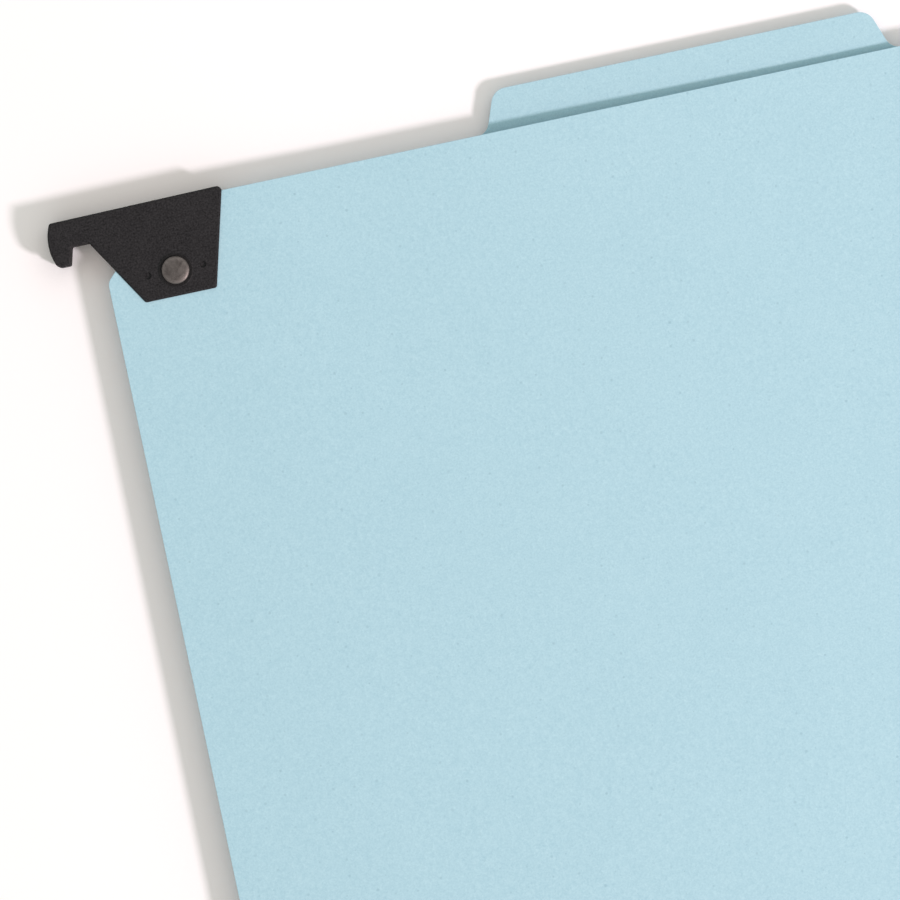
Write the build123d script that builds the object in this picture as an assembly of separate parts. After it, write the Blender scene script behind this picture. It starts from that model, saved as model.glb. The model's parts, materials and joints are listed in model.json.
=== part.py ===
from build123d import *
import os
from math import asin, cos, degrees, radians, sin, sqrt, tan

# Hanging file folder of pressboard, lying closed on its back. Millimetres.
# X runs across the folder from rail to rail, Y from the bottom pleat up to the tab,
# and Z up from the surface it lies on, through the back panel to the front panel.
# The origin is at the middle of the folder's outline, on that surface.

# Panels: die-cut pressboard
PANEL_WIDTH = 298.45
PANEL_HEIGHT = 238.1
PANEL_THICKNESS = 0.64
PANEL_GAP = 4.1
CORNER_CUT = 16.4
CORNER_CUT_RADIUS = 3.0
BOTTOM_CORNER_RADIUS = 2.0

# Index tab at the middle of the back panel's top edge
TAB_BASE_WIDTH = 101.6
TAB_HEIGHT = 10.35
TAB_SIDE_LEAN = 20.0
TAB_CORNER_RADIUS = 4.0
TAB_ROOT_RADIUS = 3.5

# Hooks: places are measured from the panel's side edge and from its top edge
HOOK_OUTER_WALL = 0.65
HOOK_INNER_WALL = 1.0
HOOK_SLOT_CLEARANCE = 0.05
HOOK_TOP_AT_ROOT = 1.25
HOOK_TOP_AT_TIP = 0.7
HOOK_DEPTH = 23.1
HOOK_ROOT_REACH = 32.25
HOOK_ROOT_LEAN = 14.75
HOOK_ROOT_RADIUS = 1.2
HOOK_BRACE_LEAN = 31.8
HOOK_CORNER_RADIUS = 0.7
HOOK_RIM_BEVEL = 0.45
NOTCH_INSET = 2.6
NOTCH_WIDTH = 4.3
NOTCH_DROP = 5.95
NOTCH_CORNER_RADIUS = 0.45
TIP_DROP = 4.45
TIP_INNER_LEAN = 15.0
TIP_REACH = 12.43
TIP_CROWN = 1.25
TIP_TOE_RADIUS = 1.6

# Rivets: semi-tubular, head on a low boss of the hook's outer face, tail rolled over inside
RIVET_INSET = 16.85
RIVET_HEAD_RADIUS = 3.45
RIVET_HEAD_HEIGHT = 1.0
RIVET_HEAD_TAPER = 0.4
RIVET_SHANK_RADIUS = 1.6
RIVET_HOLE_CLEARANCE = 0.05
RIVET_TAIL_RADIUS = 2.6
RIVET_TAIL_HEIGHT = 0.6
RIVET_TAIL_TAPER = 0.35
RIVET_BORE_RADIUS = 0.9
RIVET_BORE_DEPTH = 1.6
BOSS_MARGIN = 0.65
BOSS_HEIGHT = 0.25
BOSS_SLOPE_RUN = 0.25
DIMPLE_RADIUS = 0.8
DIMPLE_DEPTH = 0.45
DIMPLE_OFFSET = 6.85

# Bottom gusset: spun-bonded cloth strip, glued to the panels' outer faces and folded in the middle
GUSSET_FLAP = 19.0
GUSSET_LEG = 12.7
GUSSET_THICKNESS = 0.2
CREASE_RELIEF = 0.15

# Two-prong fasteners on the panels' inner faces, along the left edge
FASTENER_INSET = 19.05
PRONG_SPACING = 69.85
PRONG_WIDTH = 4.0
PRONG_TIP_GAP = 24.5
PRONG_TIP_RADIUS = 1.6
STEEL_THICKNESS = 0.3
STEEL_BEND_RADIUS = 0.15
BASE_WIDTH = 9.0
BASE_END = 6.0
PATCH_COVER = 0.35
PATCH_MARGIN = 8.0
PATCH_END_MARGIN = 11.0
PATCH_CORNER_RADIUS = 4.0
COMPRESSOR_WEB = 2.6
COMPRESSOR_FLANGE = 1.35
COMPRESSOR_THICKNESS = 0.35
COMPRESSOR_END = 9.0
COMPRESSOR_END_RADIUS = 2.2
SLIDER_THICKNESS = 0.25
SLIDER_LENGTH = 8.0
SLIDER_OFFSET = 12.0
SLIDER_RIDGE_RADIUS = 0.25
SLIDER_RIDGE_PITCH = 1.6
FASTENER_CLEARANCE = 0.05
SIDE_CLEARANCE = 0.2

# Levels, from the surface up
hook_slot = PANEL_THICKNESS + 2 * HOOK_SLOT_CLEARANCE
hook_thickness = HOOK_OUTER_WALL + hook_slot + HOOK_INNER_WALL
hook_low = RIVET_HEAD_HEIGHT + BOSS_HEIGHT
hook_high = hook_low + hook_thickness
back_outer = hook_low + HOOK_OUTER_WALL + HOOK_SLOT_CLEARANCE
back_inner = back_outer + PANEL_THICKNESS
front_inner = back_inner + PANEL_GAP
front_outer = front_inner + PANEL_THICKNESS
folder_thickness = front_outer + back_outer
middle = folder_thickness / 2

# Places across the folder and along it
fold_angle = degrees(asin((middle - back_outer) / GUSSET_LEG))
fold_run = GUSSET_LEG * cos(radians(fold_angle))
crease_overhang = GUSSET_THICKNESS * sin(radians(fold_angle))
pleat_run = fold_run - CREASE_RELIEF * cos(radians(fold_angle)) + crease_overhang
outline_length = TAB_HEIGHT + PANEL_HEIGHT + pleat_run
panel_bottom = pleat_run - outline_length / 2
panel_top = panel_bottom + PANEL_HEIGHT
panel_side = PANEL_WIDTH / 2
crease_y = panel_bottom - fold_run
rivet_x = panel_side - RIVET_INSET
rivet_y = panel_top - RIVET_INSET
fastener_x = FASTENER_INSET - panel_side
fastener_y = panel_bottom + PANEL_HEIGHT / 2
middle_plane = Plane.XY.offset(middle)
shank_hole_radius = RIVET_SHANK_RADIUS + RIVET_HOLE_CLEARANCE


def block(length, width, low, high):
    """A plate centred on X and Y, from one level to another."""
    return Pos(0, 0, low) * extrude(Rectangle(length, width), high - low)


def rounded_plate(length, width, radius, low, high):
    """The same plate with its four corners rounded in plan."""
    return Pos(0, 0, low) * extrude(RectangleRounded(length, width, radius), high - low)


def disc(radius, low, high):
    return Pos(0, 0, low) * extrude(Circle(radius), high - low)


def panel(outline):
    """A board of the given outline at Z 0, pierced for its two rivets."""
    board = extrude(outline, PANEL_THICKNESS)
    for side in (-1, 1):
        board -= Pos(side * rivet_x, rivet_y) * disc(shank_hole_radius, 0, PANEL_THICKNESS)
    return board


def panel_outline(top_points, top_radii):
    """Bottom and cut corners of a panel, with what stands on its top edge from right to left."""
    cut_x = panel_side - CORNER_CUT
    cut_y = panel_top - CORNER_CUT
    right = [(-panel_side, panel_bottom), (panel_side, panel_bottom), (panel_side, cut_y), (cut_x, panel_top)]
    left = [(-cut_x, panel_top), (-panel_side, cut_y)]
    radii = [BOTTOM_CORNER_RADIUS] * 2 + [CORNER_CUT_RADIUS] * 2 + top_radii + [CORNER_CUT_RADIUS] * 2
    return make_face(FilletPolyline(*right, *top_points, *left, radius=radii, close=True))


def front_panel():
    return Pos(0, 0, front_inner) * panel(panel_outline([], []))


def back_panel():
    base = TAB_BASE_WIDTH / 2
    crown = base - TAB_HEIGHT * tan(radians(TAB_SIDE_LEAN))
    tab_top = panel_top + TAB_HEIGHT
    points = [(base, panel_top), (crown, tab_top), (-crown, tab_top), (-base, panel_top)]
    radii = [TAB_ROOT_RADIUS, TAB_CORNER_RADIUS, TAB_CORNER_RADIUS, TAB_ROOT_RADIUS]
    return Pos(0, 0, back_outer) * panel(panel_outline(points, radii))


def round_corners(face, corners):
    """Round each named corner of a flat outline by its own radius."""
    for point, radius in corners:
        nearest = face.vertices().sort_by_distance(point)[0]
        face = fillet(nearest, radius)
    return face


def hook_outline():
    """Left hook in plan, with the panel's top left corner at the origin."""
    brace_rise = HOOK_DEPTH - NOTCH_DROP
    root_rise = HOOK_DEPTH + HOOK_TOP_AT_ROOT
    tip_side = TIP_CROWN - TIP_REACH
    tip_low = -NOTCH_DROP - TIP_DROP
    root_top = (HOOK_ROOT_REACH, HOOK_TOP_AT_ROOT)
    root_bottom = (HOOK_ROOT_REACH - root_rise * tan(radians(HOOK_ROOT_LEAN)), -HOOK_DEPTH)
    brace_bottom = (brace_rise * tan(radians(HOOK_BRACE_LEAN)) - NOTCH_INSET, -HOOK_DEPTH)
    notch_near = (-NOTCH_INSET, -NOTCH_DROP)
    notch_far = (-NOTCH_INSET - NOTCH_WIDTH, -NOTCH_DROP)
    heel = (notch_far[0] - TIP_DROP * tan(radians(TIP_INNER_LEAN)), tip_low)
    toe = (tip_side, tip_low)
    tip_top = (tip_side, HOOK_TOP_AT_TIP)
    crown = (-TIP_REACH, (tip_low + HOOK_TOP_AT_TIP) / 2)
    straight = Polyline(tip_top, root_top, root_bottom, brace_bottom, notch_near, notch_far, heel, toe)
    outline = make_face(straight + ThreePointArc(toe, crown, tip_top))
    corners = [(root_top, HOOK_ROOT_RADIUS), (toe, TIP_TOE_RADIUS)]
    corners += [(point, HOOK_CORNER_RADIUS) for point in (tip_top, root_bottom, brace_bottom)]
    corners += [(point, NOTCH_CORNER_RADIUS) for point in (notch_near, notch_far, heel)]
    return round_corners(outline, corners)


def hook_slot_outline():
    """The panel's cut corner with its clearance, run out past the hook's root and bottom."""
    gap = HOOK_SLOT_CLEARANCE
    beyond = HOOK_ROOT_REACH + HOOK_DEPTH
    cut = CORNER_CUT - gap * sqrt(2)
    return make_face(Polyline((cut + gap, gap), (beyond, gap), (beyond, -beyond), (-gap, -beyond),
                              (-gap, -cut - gap), close=True))


def left_hook():
    """Moulded hook that takes the panel's corner in a slot, outer face and rivet boss down."""
    body = extrude(hook_outline(), hook_thickness)
    body = chamfer(body.edges().group_by(Axis.Z)[0], HOOK_RIM_BEVEL)
    body -= Pos(0, 0, HOOK_OUTER_WALL) * extrude(hook_slot_outline(), hook_slot)
    boss_top = RIVET_HEAD_RADIUS + BOSS_MARGIN
    boss = Pos(0, 0, -BOSS_HEIGHT / 2) * Cone(boss_top, boss_top + BOSS_SLOPE_RUN, BOSS_HEIGHT)
    cuts = disc(shank_hole_radius, -BOSS_HEIGHT, hook_thickness)
    for side in (-1, 1):
        cuts += Pos(side * DIMPLE_OFFSET, 0) * disc(DIMPLE_RADIUS, 0, DIMPLE_DEPTH)
    rivet_place = Pos(RIVET_INSET, -RIVET_INSET)
    body = body + rivet_place * boss - rivet_place * cuts
    return Pos(-panel_side, panel_top, hook_low) * body


def left_rivet():
    """Turned section of the set rivet, head down at Z 0, with a straight bore in its tail."""
    tail_high = hook_high + RIVET_TAIL_HEIGHT
    bore_end = tail_high - RIVET_BORE_DEPTH
    section = make_face(Polyline(
        (0, 0), (RIVET_HEAD_RADIUS - RIVET_HEAD_TAPER, 0), (RIVET_HEAD_RADIUS, RIVET_HEAD_HEIGHT),
        (RIVET_SHANK_RADIUS, RIVET_HEAD_HEIGHT), (RIVET_SHANK_RADIUS, hook_high),
        (RIVET_TAIL_RADIUS, hook_high), (RIVET_TAIL_RADIUS - RIVET_TAIL_TAPER, tail_high),
        (RIVET_BORE_RADIUS, tail_high), (RIVET_BORE_RADIUS, bore_end), (0, bore_end), close=True))
    return Pos(-rivet_x, rivet_y) * revolve(Plane.XZ * section, Axis.Z)


def gusset_back_half():
    """Back half of the folded strip, as the flap under the panel and one leg of the pleat."""
    along = Vector(-cos(radians(fold_angle)), sin(radians(fold_angle)))
    outward = Vector(-sin(radians(fold_angle)), -cos(radians(fold_angle)))
    corner = Vector(panel_bottom, back_outer)
    outer_corner = corner - Vector(tan(radians(fold_angle / 2)), 1) * GUSSET_THICKNESS
    flap_end = corner + Vector(GUSSET_FLAP, 0)
    outer_end = flap_end - Vector(0, GUSSET_THICKNESS)
    crease = corner + along * (GUSSET_LEG - CREASE_RELIEF)
    sections = {
        "gusset_flap": Polyline(flap_end, corner, outer_corner, outer_end, close=True),
        "gusset_leg": Polyline(corner, crease, crease + outward * GUSSET_THICKNESS, outer_corner, close=True),
    }
    return {name: extrude(Plane.YZ * make_face(section), panel_side, both=True)
            for name, section in sections.items()}


# Levels of a fastener above its panel's inner face
patch_top = STEEL_THICKNESS + PATCH_COVER
web_top = patch_top + COMPRESSOR_THICKNESS
flange_top = web_top + COMPRESSOR_THICKNESS
prong_low = web_top + FASTENER_CLEARANCE
prong_top = prong_low + STEEL_THICKNESS
slider_low = patch_top + FASTENER_CLEARANCE
slider_roof = max(flange_top, prong_top) + FASTENER_CLEARANCE
slider_lip = web_top - FASTENER_CLEARANCE

# Sizes of a fastener across and along its strip
prong_reach = PRONG_SPACING / 2
base_length = PRONG_SPACING + 2 * BASE_END
flange_edge = COMPRESSOR_WEB + COMPRESSOR_FLANGE + COMPRESSOR_THICKNESS
prong_slit_width = PRONG_WIDTH + 2 * SIDE_CLEARANCE
prong_slit_length = STEEL_THICKNESS + 2 * SIDE_CLEARANCE


def prong_slits(low, high):
    """The two slits that the prongs come up through."""
    slits = Part()
    for end in (-1, 1):
        slits += Pos(0, end * prong_reach) * block(prong_slit_width, prong_slit_length, low, high)
    return slits


def fastener_patch():
    """Board patch that bonds the prong strip down, hollowed beneath for the strip."""
    width = BASE_WIDTH + 2 * PATCH_MARGIN
    length = base_length + 2 * PATCH_END_MARGIN
    patch = rounded_plate(width, length, PATCH_CORNER_RADIUS, 0, patch_top)
    rim = patch.edges().group_by(Axis.Z)[-1]
    patch = chamfer(rim, PATCH_COVER)
    hollow_width = BASE_WIDTH + 2 * FASTENER_CLEARANCE
    hollow_length = base_length + 2 * FASTENER_CLEARANCE
    patch -= block(hollow_width, hollow_length, 0, STEEL_THICKNESS)
    return patch - prong_slits(0, patch_top)


def prong_strip():
    """Stamped strip with its two prongs bent up through the bar and folded in over it."""
    strip = block(BASE_WIDTH, base_length, 0, STEEL_THICKNESS)
    half = STEEL_THICKNESS / 2
    tip = PRONG_TIP_GAP / 2
    points = [(prong_reach + half, half), (prong_reach + half, prong_top), (tip, prong_top),
              (tip, prong_low), (prong_reach - half, prong_low), (prong_reach - half, half)]
    radii = [0, STEEL_BEND_RADIUS + STEEL_THICKNESS, 0, 0, STEEL_BEND_RADIUS, 0]
    section = make_face(FilletPolyline(*points, radius=radii, close=True))
    prong = extrude(Plane.YZ * section, PRONG_WIDTH / 2, both=True)
    prong = fillet(prong.edges().filter_by(Axis.Z).group_by(Axis.Y)[0], PRONG_TIP_RADIUS)
    return strip + prong + mirror(prong, Plane.XZ)


def compressor():
    """Joggled bar with raised flanges that the sliders run on."""
    length = PRONG_SPACING + 2 * COMPRESSOR_END
    riser = COMPRESSOR_WEB + COMPRESSOR_THICKNESS
    right = [(riser, patch_top), (riser, web_top), (flange_edge, web_top), (flange_edge, flange_top),
             (COMPRESSOR_WEB, flange_top), (COMPRESSOR_WEB, web_top)]
    left = [(-x, z) for x, z in reversed(right)]
    bar = extrude(Plane.XZ * make_face(Polyline(*right, *left, close=True)), length / 2, both=True)
    bar &= rounded_plate(2 * flange_edge, length, COMPRESSOR_END_RADIUS, patch_top, flange_top)
    return bar - prong_slits(patch_top, flange_top)


def slider():
    """Spring clasp wrapped round the bar's flanges, with two pressed finger ridges."""
    inner = flange_edge + FASTENER_CLEARANCE
    outer = inner + SLIDER_THICKNESS
    lip_end = COMPRESSOR_WEB + COMPRESSOR_THICKNESS + SIDE_CLEARANCE
    roof = slider_roof + SLIDER_THICKNESS
    right = [(outer, roof), (outer, slider_low), (lip_end, slider_low), (lip_end, slider_lip),
             (inner, slider_lip), (inner, slider_roof)]
    left = [(-x, z) for x, z in reversed(right)]
    clasp = extrude(Plane.XZ * make_face(Polyline(*right, *left, close=True)), SLIDER_LENGTH / 2, both=True)
    ridge = Rot(0, 90, 0) * Cylinder(SLIDER_RIDGE_RADIUS, 2 * COMPRESSOR_WEB)
    ridge &= block(2 * outer, SLIDER_LENGTH, 0, roof)
    for place in (-SLIDER_RIDGE_PITCH / 2, SLIDER_RIDGE_PITCH / 2):
        clasp += Pos(0, place, roof) * ridge
    return clasp


def fastener_pieces():
    """One fastener, standing on Z 0 at the middle of its strip."""
    clasp = slider()
    slider_place = prong_reach - SLIDER_OFFSET
    return {
        "fastener_patch": fastener_patch(),
        "prong_strip": prong_strip(),
        "compressor": compressor(),
        "upper_slider": Pos(0, slider_place) * clasp,
        "lower_slider": Pos(0, -slider_place) * clasp,
    }


def back_half():
    """Everything that stays with the back panel, by its plain name."""
    hook = left_hook()
    rivet = left_rivet()
    pieces = {
        "left_hook": hook,
        "right_hook": mirror(hook, Plane.YZ),
        "left_rivet": rivet,
        "right_rivet": mirror(rivet, Plane.YZ),
    }
    pieces.update(gusset_back_half())
    for name, piece in fastener_pieces().items():
        pieces[name] = Pos(fastener_x, fastener_y, back_inner) * piece
    return pieces


def folder():
    """Back half, and its mirror image in the plane between the panels as the front half."""
    pieces = {"back_panel": back_panel(), "front_panel": front_panel()}
    for name, piece in back_half().items():
        pieces["back_" + name] = piece
        pieces["front_" + name] = mirror(piece, middle_plane)
    return pieces


os.makedirs("parts", exist_ok=True)
for node, piece in folder().items():
    export_step(piece, os.path.join("parts", node + ".step"))

print(f"crease at Y {crease_y:.3f}, Z {middle:.3f}; pleat leg rises {fold_angle:.2f} degrees")
print(f"panel from Y {panel_bottom:.3f} to {panel_top:.3f}, side at X {panel_side:.3f}")
print(f"levels: back {back_outer:.3f} to {back_inner:.3f}, front {front_inner:.3f} to {front_outer:.3f}")
print(f"folder thickness {folder_thickness:.3f}, hook from {hook_low:.3f} to {hook_high:.3f}")
print(f"fastener at X {fastener_x:.3f}, Y {fastener_y:.3f}, stack {slider_roof + SLIDER_THICKNESS:.3f}")
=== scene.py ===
import json
from math import acos, cos, pi, radians, sin, tan

import bmesh
import bpy
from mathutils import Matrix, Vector


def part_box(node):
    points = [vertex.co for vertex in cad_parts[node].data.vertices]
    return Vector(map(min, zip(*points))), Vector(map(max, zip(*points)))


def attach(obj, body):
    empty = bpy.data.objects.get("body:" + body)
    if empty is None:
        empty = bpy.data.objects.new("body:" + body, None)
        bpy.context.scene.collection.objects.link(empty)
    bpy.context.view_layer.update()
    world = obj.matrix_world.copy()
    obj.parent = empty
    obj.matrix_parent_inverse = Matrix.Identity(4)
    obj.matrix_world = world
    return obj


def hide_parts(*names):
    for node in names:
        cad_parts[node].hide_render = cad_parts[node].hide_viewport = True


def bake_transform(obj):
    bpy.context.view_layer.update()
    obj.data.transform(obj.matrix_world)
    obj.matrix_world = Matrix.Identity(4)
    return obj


# Hanging file folder of pale blue pressboard, lying closed on a white table and seen from above.
# Metres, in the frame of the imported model: X across, Y up to the tab, Z up off the table.

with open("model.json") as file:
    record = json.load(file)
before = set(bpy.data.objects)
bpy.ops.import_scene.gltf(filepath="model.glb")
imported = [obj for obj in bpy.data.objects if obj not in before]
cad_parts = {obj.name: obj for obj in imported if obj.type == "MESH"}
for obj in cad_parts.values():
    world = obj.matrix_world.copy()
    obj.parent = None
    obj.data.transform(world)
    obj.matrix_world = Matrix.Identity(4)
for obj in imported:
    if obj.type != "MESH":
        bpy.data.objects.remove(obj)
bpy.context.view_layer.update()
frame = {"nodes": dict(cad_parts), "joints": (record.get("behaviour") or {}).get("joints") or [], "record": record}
scene = bpy.context.scene
mm = 0.001
halves = ("back", "front")


# Node trees, for finishes and for geometry

class Wire:
    # one output socket: sums written with it become Math nodes
    def __init__(self, tree, socket):
        self.tree = tree
        self.socket = socket

    def maths(self, operation, first, second=0):
        return self.tree.add("ShaderNodeMath", {"operation": operation}, {0: first, 1: second})

    def __add__(self, other):
        return self.maths("ADD", self, other)

    def __radd__(self, other):
        return self.maths("ADD", other, self)

    def __sub__(self, other):
        return self.maths("SUBTRACT", self, other)

    def __rsub__(self, other):
        return self.maths("SUBTRACT", other, self)

    def __mul__(self, other):
        return self.maths("MULTIPLY", self, other)

    def __rmul__(self, other):
        return self.maths("MULTIPLY", other, self)

    def __truediv__(self, other):
        return self.maths("DIVIDE", self, other)

    def part(self, name):
        # another output of the same node
        return Wire(self.tree, self.socket.node.outputs[name])


class Tree:
    def __init__(self, nodeTree):
        self.nodeTree = nodeTree

    def add(self, kind, settings=None, sockets=None, out=0):
        node = self.nodeTree.nodes.new(kind)
        for name, value in (settings or {}).items():
            setattr(node, name, value)
        self.feed(node, sockets or {})
        return Wire(self, node.outputs[out]) if node.outputs else None

    def feed(self, node, sockets):
        for name, value in sockets.items():
            if isinstance(value, Wire):
                self.nodeTree.links.new(value.socket, node.inputs[name])
            else:
                node.inputs[name].default_value = value


def noise(tree, place, size, detail=2.0, twist=0.0):
    sockets = {"Vector": place, "Scale": 1 / size, "Detail": detail, "Distortion": twist}
    return tree.add("ShaderNodeTexNoise", {}, sockets)


def sway(wave, share):
    # a noise's swing about its middle
    return share * (wave - 0.5)


def rise(tree, value, low, high):
    # 0 up to low, 1 from high on, smooth between them
    sockets = {"Value": value, "From Min": low, "From Max": high}
    return tree.add("ShaderNodeMapRange", {"interpolation_type": "SMOOTHSTEP"}, sockets)


def tone(tree, factor, first, second):
    return tree.add("ShaderNodeMix", {"data_type": "RGBA"}, {0: factor, 6: first, 7: second}, out=2)


def laid(tree, place, turn, size):
    # coordinates turned in the sheet's plane, then counted in units of size
    sockets = {"Vector": place, "Rotation": (0, 0, radians(turn)), "Scale": size}
    return tree.add("ShaderNodeMapping", {"vector_type": "TEXTURE"}, sockets)


def streaks(tree, place, turn, length, width, detail=2.0):
    # noise drawn out in one direction of the sheet
    return noise(tree, laid(tree, place, turn, (length, width, width)), 1.0, detail)


def fibres(tree, place, turns, length, width, span):
    # 1 along short fibres in each of the given directions: span is where the noise starts and fills one
    total = 0
    for turn in turns:
        total = rise(tree, streaks(tree, place, turn, length, width, detail=1.0), *span) + total
    return total


def bump(tree, height, depth):
    return tree.add("ShaderNodeBump", {}, {"Height": height, "Strength": 1.0, "Distance": depth})


def newFinish(name, constants):
    material = bpy.data.materials.new(name)
    material.use_nodes = True
    tree = Tree(material.node_tree)
    shader = material.node_tree.nodes["Principled BSDF"]
    tree.feed(shader, constants)
    return material, tree, shader


# Finishes: a share says how far a pattern moves the mix of the two main colours

pressboard = {
    "deep": (0.390, 0.597, 0.690, 1),
    "pale": (0.550, 0.757, 0.838, 1),
    "speck": (0.270, 0.440, 0.520, 1),
    "core": (0.560, 0.730, 0.790, 1),      # fibres laid open by the die cut
    "cloudSize": 17 * mm,
    "cloudShare": 0.14,
    "flockSize": 1.1 * mm,
    "flockShare": 0.56,
    "grainSize": 0.50 * mm,
    "grainShare": 1.0,
    "fibreLength": 1.6 * mm,
    "fibreWidth": 0.15 * mm,
    "paleTurns": (8, 52, 97, 148),         # degrees that the fibres lie at
    "paleSpan": (0.60, 0.74),
    "paleShare": 0.18,
    "darkTurns": (28, 74, 121, 166),
    "darkSpan": (0.64, 0.78),
    "darkShare": 0.20,
    "speckCell": 5.5 * mm,                 # one speck in each cell, of its own size
    "speckReach": 0.60 * mm,
    "speckCore": 0.2,                      # full up to this share of its reach
    "speckFaint": 0.10,                    # the faintest speck, and what the strongest has more
    "speckExtra": 0.32,
    "plyLength": 3 * mm,                   # layers that show in the cut edge
    "plyHeight": 0.07 * mm,
    "plySpan": (0.3, 0.7),
    "plyShare": 0.8,
    "specular": 0.22,
    "roughness": 0.62,
    "relief": 0.022 * mm,
}


def boardFinish(name):
    given = pressboard
    material, tree, shader = newFinish(name, {"Specular IOR Level": given["specular"]})
    place = tree.add("ShaderNodeTexCoord", out="Object")
    cloud = noise(tree, place, given["cloudSize"])
    flock = noise(tree, place, given["flockSize"], detail=3.0)
    grain = noise(tree, place, given["grainSize"])
    size = (given["fibreLength"], given["fibreWidth"])
    paleFibre = fibres(tree, place, given["paleTurns"], *size, given["paleSpan"])
    darkFibre = fibres(tree, place, given["darkTurns"], *size, given["darkSpan"])
    level = 0.5 + sway(cloud, given["cloudShare"]) + sway(flock, given["flockShare"])
    level = level + sway(grain, given["grainShare"])
    level = level + given["paleShare"] * paleFibre - given["darkShare"] * darkFibre
    colour = tone(tree, level, given["deep"], given["pale"])

    cell = tree.add("ShaderNodeTexVoronoi", {"voronoi_dimensions": "2D"}, {
        "Vector": place, "Scale": 1 / given["speckCell"]}, out="Distance")
    chance = tree.add("ShaderNodeSeparateColor", {}, {0: cell.part("Color")})
    reach = chance * (given["speckReach"] / given["speckCell"])
    strength = given["speckFaint"] + given["speckExtra"] * chance.part("Green")
    speck = (1 - rise(tree, cell, reach * given["speckCore"], reach)) * strength
    colour = tone(tree, speck, colour, given["speck"])

    layer = (given["plyLength"], given["plyLength"], given["plyHeight"])
    plies = noise(tree, laid(tree, place, 0, layer), 1.0)
    cut = tree.add("ShaderNodeAttribute", {"attribute_name": "cutEdge"}, out="Fac")
    edgeColour = tone(tree, rise(tree, plies, *given["plySpan"]), given["deep"], given["core"])
    colour = tone(tree, cut * given["plyShare"], colour, edgeColour)
    height = flock * 0.5 + grain + 0.5 * paleFibre + cut * plies * 2.0
    tree.feed(shader, {
        "Base Color": colour,
        "Roughness": given["roughness"] + sway(flock, 0.16) + cut * 0.2,
        "Normal": bump(tree, height, given["relief"]),
    })
    return material


hookPlastic = {
    "deep": (0.0085, 0.0075, 0.0080, 1),
    "pale": (0.0420, 0.0380, 0.0397, 1),
    "level": 0.46,
    "pitSize": 0.42 * mm,                    # sparked grain of the mould
    "pitShare": 2.2,
    "flowSize": 5.0 * mm,
    "flowShare": 0.4,
    "flowTwist": 0.6,
    "paintedRingShade": (0.0075, 0.0062, 0.0060, 1),    # painted shade of the rivet's head, in a ring round it on the boss
    "paintedShadeShare": 0.6,
    "paintedShadeStart": 4.00 * mm,                 # the painted shade fades out between these radii
    "paintedShadeEnd": 4.15 * mm,
    "specular": 0.10,
    "roughness": 0.56,
    "relief": 0.030 * mm,
}


def fromRivet(tree, place):
    # distance in the hook's plane from its rivet: the hooks mirror each other across X
    low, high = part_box("front_right_rivet")
    axis = tree.add("ShaderNodeSeparateXYZ", {}, {0: place})
    aside = axis.maths("ABSOLUTE", axis) - (low.x + high.x) / 2
    along = axis.part("Y") - (low.y + high.y) / 2
    square = aside * aside + along * along
    return square.maths("SQRT", square)


def plasticFinish(name):
    given = hookPlastic
    material, tree, shader = newFinish(name, {"Specular IOR Level": given["specular"]})
    place = tree.add("ShaderNodeTexCoord", out="Object")
    pit = noise(tree, place, given["pitSize"], detail=3.0)
    flow = noise(tree, place, given["flowSize"], twist=given["flowTwist"])
    level = given["level"] + sway(pit, given["pitShare"]) + sway(flow, given["flowShare"])
    colour = tone(tree, level, given["deep"], given["pale"])
    # painted shade: a dark ring round each rivet's head, standing for its shadow on the boss
    outsideShade = rise(tree, fromRivet(tree, place), given["paintedShadeStart"], given["paintedShadeEnd"])
    tree.feed(shader, {
        "Base Color": tone(tree, given["paintedShadeShare"] * (1 - outsideShade), colour, given["paintedRingShade"]),
        "Roughness": given["roughness"] + sway(pit, 0.20) + sway(flow, 0.14),
        "Normal": bump(tree, pit, given["relief"]),
    })
    return material


rivetSteel = {
    "dull": (0.048, 0.0415, 0.038, 1),
    "bright": (0.166, 0.147, 0.136, 1),
    "level": 0.40,
    "stainSize": 1.6 * mm,
    "stainShare": 1.2,
    "stainTwist": 0.8,
    "grainSize": 0.16 * mm,
    "grainShare": 0.45,
    "scratchTurns": (17, 104),
    "scratchLength": 1.4 * mm,
    "scratchWidth": 0.03 * mm,
    "scratchSpan": (0.62, 0.72),
    "scratchShare": 0.20,
    "rubStart": 2.1 * mm,          # the head's shoulder is rubbed brighter, out from here
    "rubEnd": 3.1 * mm,
    "rubShare": 0.30,
    "roughness": 0.44,
    "relief": 0.006 * mm,
}


def rivetFinish(name):
    given = rivetSteel
    material, tree, shader = newFinish(name, {"Metallic": 1.0})
    place = tree.add("ShaderNodeTexCoord", out="Object")
    stain = noise(tree, place, given["stainSize"], detail=3.0, twist=given["stainTwist"])
    grain = noise(tree, place, given["grainSize"])
    size = (given["scratchLength"], given["scratchWidth"])
    scratch = fibres(tree, place, given["scratchTurns"], *size, given["scratchSpan"])
    rubbed = rise(tree, fromRivet(tree, place), given["rubStart"], given["rubEnd"])
    level = given["level"] + sway(stain, given["stainShare"]) + sway(grain, given["grainShare"])
    level = level + given["scratchShare"] * scratch + given["rubShare"] * rubbed
    tree.feed(shader, {
        "Base Color": tone(tree, level, given["dull"], given["bright"]),
        "Roughness": given["roughness"] - sway(stain, 0.16) + sway(grain, 0.10),
        "Normal": bump(tree, grain + stain * 2.0 - scratch, given["relief"]),
    })
    return material


fastenerSteel = {
    "dull": (0.340, 0.342, 0.340, 1),
    "bright": (0.560, 0.562, 0.558, 1),
    "drawTurn": 90,                # marks along the rolled strip
    "drawLength": 12 * mm,
    "drawWidth": 0.09 * mm,
    "drawShare": 0.8,
    "bloomSize": 2.5 * mm,
    "bloomShare": 0.7,
    "bloomTwist": 1.2,
    "roughness": 0.27,
    "relief": 0.003 * mm,
}


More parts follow.
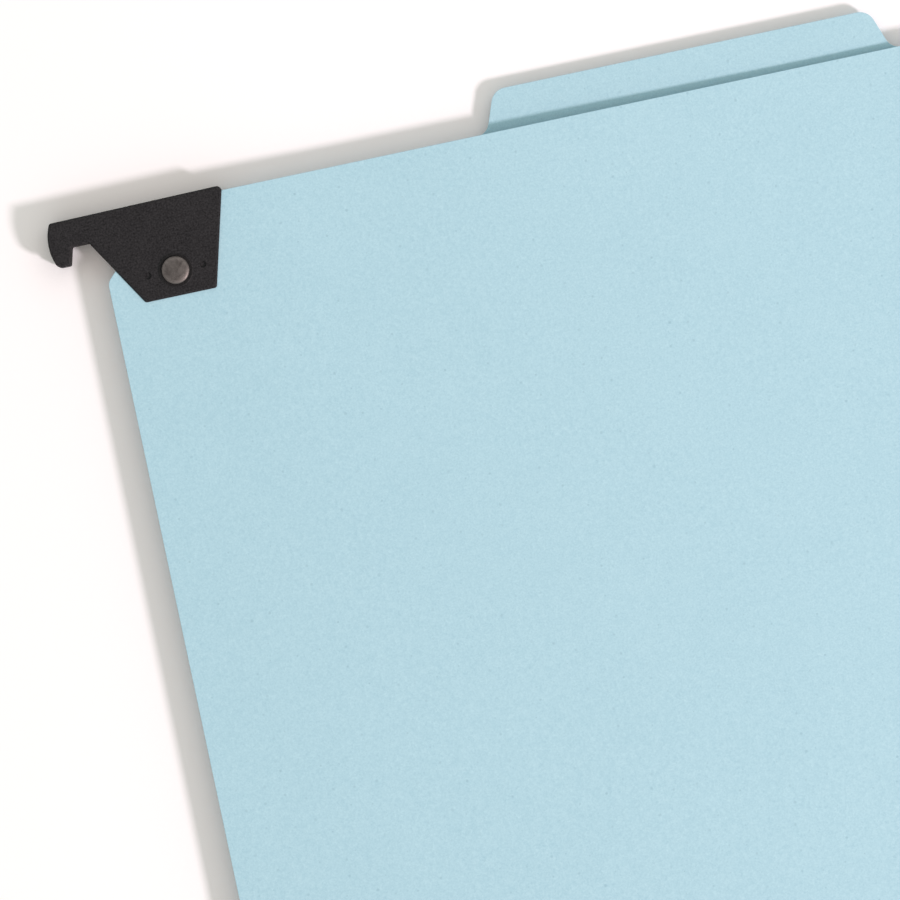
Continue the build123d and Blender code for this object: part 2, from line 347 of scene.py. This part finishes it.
def stripFinish(name):
    given = fastenerSteel
    material, tree, shader = newFinish(name, {"Metallic": 1.0})
    place = tree.add("ShaderNodeTexCoord", out="Object")
    drawn = streaks(tree, place, given["drawTurn"], given["drawLength"], given["drawWidth"])
    bloom = noise(tree, place, given["bloomSize"], detail=3.0, twist=given["bloomTwist"])
    level = 0.5 + sway(drawn, given["drawShare"]) + sway(bloom, given["bloomShare"])
    tree.feed(shader, {
        "Base Color": tone(tree, level, given["dull"], given["bright"]),
        "Roughness": given["roughness"] + sway(drawn, 0.16) + sway(bloom, 0.14),
        "Normal": bump(tree, drawn, given["relief"]),
    })
    return material


gussetCloth = {
    "deep": (0.100, 0.205, 0.285, 1),
    "pale": (0.225, 0.385, 0.490, 1),
    "level": 0.30,
    "swirlSize": 7.0 * mm,
    "swirlShare": 0.55,
    "swirlTwist": 2.5,
    "poreSize": 0.35 * mm,
    "poreShare": 0.30,
    "webTurns": (5, 41, 78, 113, 152),
    "webLength": 5.0 * mm,
    "webWidth": 0.13 * mm,
    "webSpan": (0.56, 0.70),
    "webShare": 0.22,
    "sheen": 0.12,
    "sheenRoughness": 0.5,
    "roughness": 0.66,
    "relief": 0.03 * mm,
}


def clothFinish(name):
    given = gussetCloth
    material, tree, shader = newFinish(name, {
        "Sheen Weight": given["sheen"], "Sheen Roughness": given["sheenRoughness"]})
    place = tree.add("ShaderNodeUVMap", {"uv_map": "flat"})
    swirl = noise(tree, place, given["swirlSize"], detail=3.0, twist=given["swirlTwist"])
    pore = noise(tree, place, given["poreSize"])
    web = fibres(tree, place, given["webTurns"], given["webLength"], given["webWidth"], given["webSpan"])
    level = given["level"] + sway(swirl, given["swirlShare"]) + sway(pore, given["poreShare"])
    level = level + given["webShare"] * web
    tree.feed(shader, {
        "Base Color": tone(tree, level, given["deep"], given["pale"]),
        "Roughness": given["roughness"] - 0.12 * web + sway(swirl, 0.10),
        "Normal": bump(tree, web + 0.6 * pore, given["relief"]),
    })
    return material


finishes = {
    "pressboard": boardFinish("palePressboard"),
    "patch_board": boardFinish("patchBoard"),
    "hook_plastic": plasticFinish("mouldedPlastic"),
    "rivet_steel": rivetFinish("satinRivet"),
    "fastener_steel": stripFinish("tinnedStrip"),
    "gusset_cloth": clothFinish("spunCloth"),
}
print("finishes:", ", ".join(finishes))


# Meshes

meshing = {
    "weld": 0.001 * mm,        # corners closer than this are one
    "flatAngle": 0.5,          # degrees: triangles that turn less are one flat face
    "roundAngle": 32,          # degrees: edges that turn more are rounded
    "flatWeight": 80,          # keeps the shading of the flat faces flat
}


def newPiece(name, mesh):
    piece = bpy.data.objects.new(name, mesh)
    scene.collection.objects.link(piece)
    return piece


def solidForm(node):
    # a node's loose triangles joined up, with each flat face made whole
    source = frame["nodes"][node].data
    form = bmesh.new()
    points = [form.verts.new(vertex.co) for vertex in source.vertices]
    for triangle in source.polygons:
        form.faces.new([points[index] for index in triangle.vertices])
    bmesh.ops.remove_doubles(form, verts=form.verts, dist=meshing["weld"])
    flatAngle = radians(meshing["flatAngle"])
    bmesh.ops.dissolve_limit(form, angle_limit=flatAngle, verts=form.verts, edges=form.edges)
    return form


def formPiece(name, form):
    mesh = bpy.data.meshes.new(name)
    form.to_mesh(mesh)
    form.free()
    return newPiece(name, mesh)


def settle(piece):
    # the modifiers' result becomes the piece's own mesh
    ready = piece.evaluated_get(bpy.context.evaluated_depsgraph_get())
    mesh = bpy.data.meshes.new_from_object(ready)
    piece.modifiers.clear()
    piece.data = mesh


def soften(piece, width, segments):
    for face in piece.data.polygons:
        face.use_smooth = True
    rounding = piece.modifiers.new("soften", "BEVEL")
    rounding.width = width
    rounding.segments = segments
    rounding.limit_method = "ANGLE"
    rounding.angle_limit = radians(meshing["roundAngle"])
    rounding.miter_outer = "MITER_ARC"
    normals = piece.modifiers.new("normals", "WEIGHTED_NORMAL")
    normals.weight = meshing["flatWeight"]
    settle(piece)


def shade(piece, sharpest):
    for face in piece.data.polygons:
        face.use_smooth = True
    piece.data.set_sharp_from_angle(angle=radians(sharpest))


def dress(piece, slot):
    piece.data.materials.clear()
    piece.data.materials.append(finishes[slot])


def geometryTree(name, inputs):
    group = bpy.data.node_groups.new(name, "GeometryNodeTree")
    group.interface.new_socket("Geometry", in_out="INPUT", socket_type="NodeSocketGeometry")
    for label, kind in inputs.items():
        group.interface.new_socket(label, in_out="INPUT", socket_type="NodeSocket" + kind)
    group.interface.new_socket("Geometry", in_out="OUTPUT", socket_type="NodeSocketGeometry")
    tree = Tree(group)
    entry = tree.add("NodeGroupInput")
    return tree, {label: entry.part(label) for label in ["Geometry", *inputs]}


def closeTree(tree, shape, finish):
    whole = tree.add("GeometryNodeRealizeInstances", {}, {"Geometry": shape})
    painted = tree.add("GeometryNodeSetMaterial", {}, {"Geometry": whole, "Material": finish})
    tree.add("NodeGroupOutput", {}, {"Geometry": painted})
    return tree.nodeTree


def grow(piece, group, values):
    modifier = piece.modifiers.new(group.name, "NODES")
    modifier.node_group = group
    for item in group.interface.items_tree:
        if item.in_out == "INPUT" and item.name in values:
            modifier[item.identifier] = values[item.name]
    settle(piece)


# Boards: the top edge of each has taken a slight bow between its hooks

board = {
    "cut": 10 * mm,            # spacing of the lines it can bend along
    "bowStart": -80 * mm,      # the bow grows from here up to the top edge
    "bowEnd": 120 * mm,
    "edge": 0.07 * mm,
    "edgeSteps": 2,
    "cutSlope": 0.6,           # a face that looks up or down less than this was cut
}

bows = {
    "back": [
        {"Bow": 0.98 * mm, "Peak": 0.0, "Left Span": 122 * mm, "Right Span": 122 * mm, "Flat Share": 0.4},
    ],
    "front": [
        {"Bow": -0.60 * mm, "Peak": 0.0, "Left Span": 114 * mm, "Right Span": 114 * mm, "Flat Share": 0.7},
        {"Bow": -1.18 * mm, "Peak": 45 * mm, "Left Span": 121 * mm, "Right Span": 70 * mm, "Flat Share": 0.0},
    ],
}


def bowTree():
    inputs = {label: "Float" for label in (*bows["back"][0], "Bow Start", "Bow End")}
    tree, given = geometryTree("bowedBoard", {**inputs, "Finish": "Material"})
    place = tree.add("ShaderNodeSeparateXYZ", {}, {0: tree.add("GeometryNodeInputPosition")})
    aside = place - given["Peak"]
    share = aside.maths("MAXIMUM", aside / given["Right Span"], aside / (0 - given["Left Span"]))
    arch = 1 - rise(tree, share, given["Flat Share"], 1.0)
    along = rise(tree, place.part("Y"), given["Bow Start"], given["Bow End"])
    lift = tree.add("ShaderNodeCombineXYZ", {}, {"Z": given["Bow"] * arch * along})
    bent = tree.add("GeometryNodeSetPosition", {}, {"Geometry": given["Geometry"], "Offset": lift})
    return closeTree(tree, bent, given["Finish"])


def cutAcross(form, axis, low, high, spacing):
    count = round((high - low) / spacing)
    normal = Vector([float(index == axis) for index in range(3)])
    for step in range(1, count):
        geometry = form.verts[:] + form.edges[:] + form.faces[:]
        place = normal * (low + (high - low) * step / count)
        bmesh.ops.bisect_plane(form, geom=geometry, plane_co=place, plane_no=normal)


def markCutEdge(mesh):
    # 1 on the faces that the die cut, 0 on the board's own surfaces
    mark = mesh.attributes.new("cutEdge", "FLOAT", "FACE")
    for face in mesh.polygons:
        mark.data[face.index].value = float(abs(face.normal.z) < board["cutSlope"])


bowedBoard = bowTree()
for half in halves:
    node = half + "_panel"
    low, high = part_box(node)
    form = solidForm(node)
    for axis in (0, 1):
        cutAcross(form, axis, low[axis], high[axis], board["cut"])
    panel = formPiece(node + "_board", form)
    for bow in bows[half]:
        grow(panel, bowedBoard, {
            **bow, "Bow Start": board["bowStart"], "Bow End": board["bowEnd"],
            "Finish": finishes["pressboard"],
        })
    soften(panel, board["edge"], board["edgeSteps"])
    markCutEdge(panel.data)
    dress(panel, "pressboard")
    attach(panel, half)
    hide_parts(node)
print("boards:", len(halves), "bowed between the hooks")


# Hooks and fasteners: the CAD forms with their edges rounded as moulding and stamping leave them

moulded = {"slot": "hook_plastic", "edge": 0.10 * mm, "edgeSteps": 3}
dieCut = {"slot": "patch_board", "edge": 0.10 * mm, "edgeSteps": 2}
stamped = {"slot": "fastener_steel", "edge": 0.06 * mm, "edgeSteps": 2}

rigid = {
    "left_hook": moulded,
    "right_hook": moulded,
    "fastener_patch": dieCut,
    "prong_strip": stamped,
    "compressor": stamped,
    "upper_slider": stamped,
    "lower_slider": stamped,
}

bodyOf = {node: body for body, nodes in frame["record"]["behaviour"]["bodies"].items() for node in nodes}
for half in halves:
    for name, given in rigid.items():
        node = half + "_" + name
        piece = formPiece(node + "_rounded", solidForm(node))
        soften(piece, given["edge"], given["edgeSteps"])
        if given is dieCut:
            markCutEdge(piece.data)
        dress(piece, given["slot"])
        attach(piece, bodyOf[node])
        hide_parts(node)
print("hooks and fasteners:", len(rigid) * len(halves), "pieces")


# Rivets: one turned section, set twice in each half

rivet = {
    "headHeight": 1.00 * mm,
    "fullness": 3.6,               # of the head's shoulder: 2 is a plain ellipse, more is squarer
    "crown": 0.28,                 # share of the head's height that its face is domed by
    "domeSteps": 24,
    "shankRadius": 1.6 * mm,
    "tailRadius": 2.6 * mm,
    "tailHeight": 0.6 * mm,
    "tailTaper": 0.35 * mm,
    "boreRadius": 0.9 * mm,
    "boreDepth": 1.6 * mm,
    "edge": 0.10 * mm,
    "edgeSteps": 5,
    "steps": 64,
    "axisRadius": 0.001 * mm,      # of the ring that turns the section, closed by the weld
    "weld": 0.004 * mm,
    "sharpAngle": 50,
}


def rivetTree():
    inputs = {
        "Edge Radius": "Float", "Steps": "Int", "First Place": "Vector", "Spread": "Vector",
        "Turn": "Vector", "Finish": "Material",
    }
    tree, given = geometryTree("rivetSet", inputs)
    section = tree.add("GeometryNodeMeshToCurve", {}, {"Mesh": given["Geometry"]})
    rounded = tree.add("GeometryNodeFilletCurve", {"mode": "POLY"}, {
        "Curve": section, "Count": rivet["edgeSteps"], "Radius": given["Edge Radius"], "Limit Radius": True})
    ring = tree.add("GeometryNodeCurvePrimitiveCircle", {}, {
        "Resolution": given["Steps"], "Radius": rivet["axisRadius"]})
    turned = tree.add("GeometryNodeCurveToMesh", {}, {"Curve": ring, "Profile Curve": rounded})
    closed = tree.add("GeometryNodeMergeByDistance", {}, {"Geometry": turned, "Distance": rivet["weld"]})
    places = tree.add("GeometryNodeMeshLine", {}, {
        "Count": 2, "Start Location": given["First Place"], "Offset": given["Spread"]})
    rotation = tree.add("FunctionNodeEulerToRotation", {}, {0: given["Turn"]})
    pair = tree.add("GeometryNodeInstanceOnPoints", {}, {
        "Points": places, "Instance": closed, "Rotation": rotation})
    return closeTree(tree, pair, given["Finish"])


def headCurve(head):
    # from the middle of the head out to its rim
    power = 2 / rivet["fullness"]
    curve = []
    for step in range(rivet["domeSteps"] + 1):
        turn = pi / 2 * step / rivet["domeSteps"]
        out, up = sin(turn) ** power, abs(cos(turn)) ** power
        drop = (1 - rivet["crown"]) * (1 - up) + rivet["crown"] * out ** 2
        curve.append((head * out, -rivet["headHeight"] * drop))
    return curve


def rivetSection(head, length):
    # half section from the middle of the head down to the middle of the bore, head face at zero
    tailTop = -length + rivet["tailHeight"]
    boreEnd = -length + rivet["boreDepth"]
    return [
        *headCurve(head), (rivet["shankRadius"], -rivet["headHeight"]),
        (rivet["shankRadius"], tailTop), (rivet["tailRadius"], tailTop),
        (rivet["tailRadius"] - rivet["tailTaper"], -length), (rivet["boreRadius"], -length),
        (rivet["boreRadius"], boreEnd), (0, boreEnd),
    ]


def faceOutwards(mesh):
    form = bmesh.new()
    form.from_mesh(mesh)
    bmesh.ops.recalc_face_normals(form, faces=form.faces)
    form.to_mesh(mesh)
    form.free()


rivetSet = rivetTree()
for half in halves:
    low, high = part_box(half + "_left_rivet")
    farLow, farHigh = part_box(half + "_right_rivet")
    middle, farMiddle = (low + high) / 2, (farLow + farHigh) / 2
    headUp = half == "front"
    mesh = bpy.data.meshes.new(half + "_rivets")
    points = [(x, y, 0) for x, y in rivetSection((high.x - low.x) / 2, high.z - low.z)]
    mesh.from_pydata(points, [(index, index + 1) for index in range(len(points) - 1)], [])
    rivets = newPiece(half + "_rivets", mesh)
    grow(rivets, rivetSet, {
        "Edge Radius": rivet["edge"], "Steps": rivet["steps"], "Finish": finishes["rivet_steel"],
        "First Place": (middle.x, middle.y, high.z if headUp else low.z),
        "Spread": (farMiddle.x - middle.x, 0, 0), "Turn": (pi if headUp else 0, 0, 0),
    })
    faceOutwards(rivets.data)
    shade(rivets, rivet["sharpAngle"])
    dress(rivets, "rivet_steel")
    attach(rivets, half)
    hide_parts(half + "_left_rivet", half + "_right_rivet")
print("rivets: two in each of", len(halves), "pieces")


# Gusset: one strip of spun cloth, glued under both boards and folded once below them

gusset = {
    "creaseRadius": 0.12 * mm,
    "bendRadius": 0.5 * mm,
    "bendSteps": 6,
    "columns": 60,
    "step": 0.8 * mm,              # along the cloth
    "ripple": 0.10 * mm,           # slack of the free pleat: a long wave with a short one on it
    "rippleStart": 6 * mm,         # full from this far below the glued edge
    "longWave": 47 * mm,
    "shortWave": 17.39 * mm,
    "shortShare": 0.6,
    "shortPhase": 1.1,
    "hinge": 0.6 * mm,             # half the height of the cloth's hinge at the fold
    "sharpAngle": 60,
}


def roundedPath(points, radii):
    path = [points[0]]
    for before, corner, after, radius in zip(points, points[1:], points[2:], radii):
        toBefore, toAfter = (before - corner).normalized(), (after - corner).normalized()
        halfAngle = acos(max(-1.0, min(1.0, toBefore.dot(toAfter)))) / 2
        centre = corner + (toBefore + toAfter).normalized() * (radius / sin(halfAngle))
        start = corner + toBefore * (radius / tan(halfAngle)) - centre
        end = corner + toAfter * (radius / tan(halfAngle)) - centre
        turn = pi - 2 * halfAngle
        for step in range(gusset["bendSteps"] + 1):
            share = step / gusset["bendSteps"]
            arm = (start * sin((1 - share) * turn) + end * sin(share * turn)) / sin(turn)
            path.append(centre + arm)
    path.append(points[-1])
    return path


def spaced(path, step):
    # extra points on the long straight stretches
    dense = [path[0]]
    for first, second in zip(path, path[1:]):
        count = max(1, round((second - first).length / step))
        dense += [first.lerp(second, index / count) for index in range(1, count + 1)]
    return dense


def gussetPath(crease):
    # section of the strip, from the back flap's edge round the crease, and the height where it comes free
    low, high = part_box("back_gusset_flap")
    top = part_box("back_gusset_leg")[1].y
    level = (low.z + high.z) / 2
    back = [Vector((high.y, level)), Vector((top, level))]
    front = [Vector((point.x, 2 * crease.z - point.y)) for point in reversed(back)]
    fold = Vector((crease.y, crease.z))
    radii = [gusset["bendRadius"], gusset["creaseRadius"], gusset["bendRadius"]]
    return roundedPath([*back, fold, *front], radii), top


def slack(x, y, top):
    # the pleat's slow waves, still at its glued upper edge
    free = max(0.0, min(1.0, (top - y) / gusset["rippleStart"]))
    long = sin(2 * pi * x / gusset["longWave"])
    short = sin(2 * pi * x / gusset["shortWave"] + gusset["shortPhase"])
    return gusset["ripple"] * free * (long + gusset["shortShare"] * short)


def makeGusset(crease):
    path, top = gussetPath(crease)
    path = spaced(path, gusset["step"])
    low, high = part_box("back_gusset_flap")
    mesh = bpy.data.meshes.new("gusset_cloth")
    form = bmesh.new()
    flat = form.loops.layers.uv.new("flat")
    run = [0.0]
    for first, second in zip(path, path[1:]):
        run.append(run[-1] + (second - first).length)
    grid = []
    for column in range(gusset["columns"] + 1):
        x = low.x + (high.x - low.x) * column / gusset["columns"]
        grid.append([form.verts.new((x, y, z + slack(x, y, top))) for y, z in path])
    places = {vertex: (vertex.co.x, run[row]) for line in grid for row, vertex in enumerate(line)}
    for left, right in zip(grid, grid[1:]):
        for row in range(len(path) - 1):
            face = form.faces.new((left[row], left[row + 1], right[row + 1], right[row]))
            for loop in face.loops:
                loop[flat].uv = places[loop.vert]
    form.to_mesh(mesh)
    form.free()
    cloth = newPiece("gusset_cloth", mesh)
    wall = cloth.modifiers.new("wall", "SOLIDIFY")
    wall.thickness = high.z - low.z
    wall.offset = 0
    settle(cloth)
    shade(cloth, gusset["sharpAngle"])
    dress(cloth, "gusset_cloth")
    return cloth, (high.x - low.x, run[-1])


foldJoint = next(joint for joint in frame["joints"] if joint["name"] == "front_cover_fold")
crease = Vector(foldJoint["pos_m"])
cloth, cutSize = makeGusset(crease)
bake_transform(cloth)
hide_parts(*[half + "_gusset_" + part for half in halves for part in ("flap", "leg")])
print("gusset: one strip cut", *(round(size / mm, 1) for size in cutSize), "mm")


# Table, light and camera

table = {
    "size": 12.0,
    "drop": 0.02 * mm,
    "colour": (0.95, 0.967, 0.99, 1),
    "roughness": 0.9,
    "paintedLift": 0.165,                         # painted light: whitens the shadow for the camera alone
    # warm tint of the painted light in the shadow
    "paintedLiftColour": (1.0, 0.45, 0.30, 1),
    "paintedLiftGap": 6 * mm,                     # no painted light in a gap narrower than this, as under the folder
}


def shownRay(tree):
    # 1 for what the camera sees, straight or in gloss and glass
    path = tree.add("ShaderNodeLightPath", out="Is Camera Ray")
    shown = path + path.part("Is Glossy Ray") + path.part("Is Transmission Ray")
    return shown.maths("MINIMUM", shown, 1.0)


def tableFinish():
    # white paper table, which keeps the shadow, lifted and warmed by painted light for the camera
    material, tree, shader = newFinish("tableWhite", {
        "Base Color": table["colour"], "Roughness": table["roughness"], "Specular IOR Level": 0.0,
        "Emission Strength": table["paintedLift"],
    })
    # painted light: a warm glow that the camera alone sees, with less of it in narrow gaps
    openness = tree.add("ShaderNodeAmbientOcclusion", {}, {"Distance": table["paintedLiftGap"]}, out="AO")
    paintedLiftMask = shownRay(tree) * openness
    tree.feed(shader, {"Emission Color": tone(tree, paintedLiftMask, (0, 0, 0, 1), table["paintedLiftColour"])})
    return material


def makeTable():
    reach = table["size"] / 2
    corners = [(-reach, -reach), (reach, -reach), (reach, reach), (-reach, reach)]
    mesh = bpy.data.meshes.new("table")
    mesh.from_pydata([(x, y, -table["drop"]) for x, y in corners], [], [(0, 1, 2, 3)])
    mesh.materials.append(tableFinish())
    newPiece("table", mesh)


ambient = {"level": 0.50, "colour": (1.02, 1.16, 1.12, 1)}

lamps = {
    "key": {
        "towards": (0.626, -0.506, 0.611),     # from the folder to the lamp
        "aim": (1.5, 0.98, 0.0),               # where it points, from the middle of the picture
        "distance": 2.6, "width": 0.42, "power": 64.0, "colour": (0.975, 0.838, 0.867),
    },
    "fill": {
        "towards": (0.399, 0.502, 0.766), "aim": (0.0, 0.0, 0.0),
        "distance": 1.4, "width": 1.0, "power": 1.2, "colour": (1.02, 1.0, 0.96),
    },
}


def makeWorld():
    # the ambient light, and plain white where the camera sees past the table
    world = bpy.data.worlds.new("studio")
    scene.world = world
    world.use_nodes = True
    tree = Tree(world.node_tree)
    shown = shownRay(tree)
    tree.feed(world.node_tree.nodes["Background"], {
        "Color": tone(tree, shown, ambient["colour"], (1, 1, 1, 1)),
        "Strength": ambient["level"] + (1 - ambient["level"]) * shown,
    })


def makeLamp(name, given, target):
    lamp = bpy.data.lights.new(name, "AREA")
    lamp.shape = "DISK"
    lamp.size = given["width"]
    lamp.energy = given["power"]
    lamp.color = given["colour"]
    holder = bpy.data.objects.new(name, lamp)
    scene.collection.objects.link(holder)
    away = Vector(given["towards"]).normalized() * given["distance"]
    holder.location = target + away
    holder.rotation_euler = (away - Vector(given["aim"])).to_track_quat("Z", "Y").to_euler()
    holder.visible_camera = False


camera = {
    "lens": 250.0,
    "sensor": 36.0,
    "farthest": 100.0,
    "span": 220.53 * mm,        # width of the picture on the front board
    "fromLeft": 73.39 * mm,     # middle of the picture, from the board's left and top edges
    "fromTop": 73.95 * mm,
    "roll": -12.03,
}


def makeCamera(target):
    lens = bpy.data.cameras.new("above")
    lens.lens = camera["lens"]
    lens.sensor_width = camera["sensor"]
    lens.clip_end = camera["farthest"]
    holder = bpy.data.objects.new("above", lens)
    scene.collection.objects.link(holder)
    holder.location = target + Vector((0, 0, camera["span"] * camera["lens"] / camera["sensor"]))
    holder.rotation_euler = (0, 0, radians(camera["roll"]))
    scene.camera = holder


low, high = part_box("front_panel")
target = Vector((low.x + camera["fromLeft"], high.y - camera["fromTop"], high.z))
makeTable()
makeWorld()
for name, given in lamps.items():
    makeLamp(name, given, target)
makeCamera(target)
scene.view_settings.view_transform = "Standard"
print("table, lamps and camera placed")
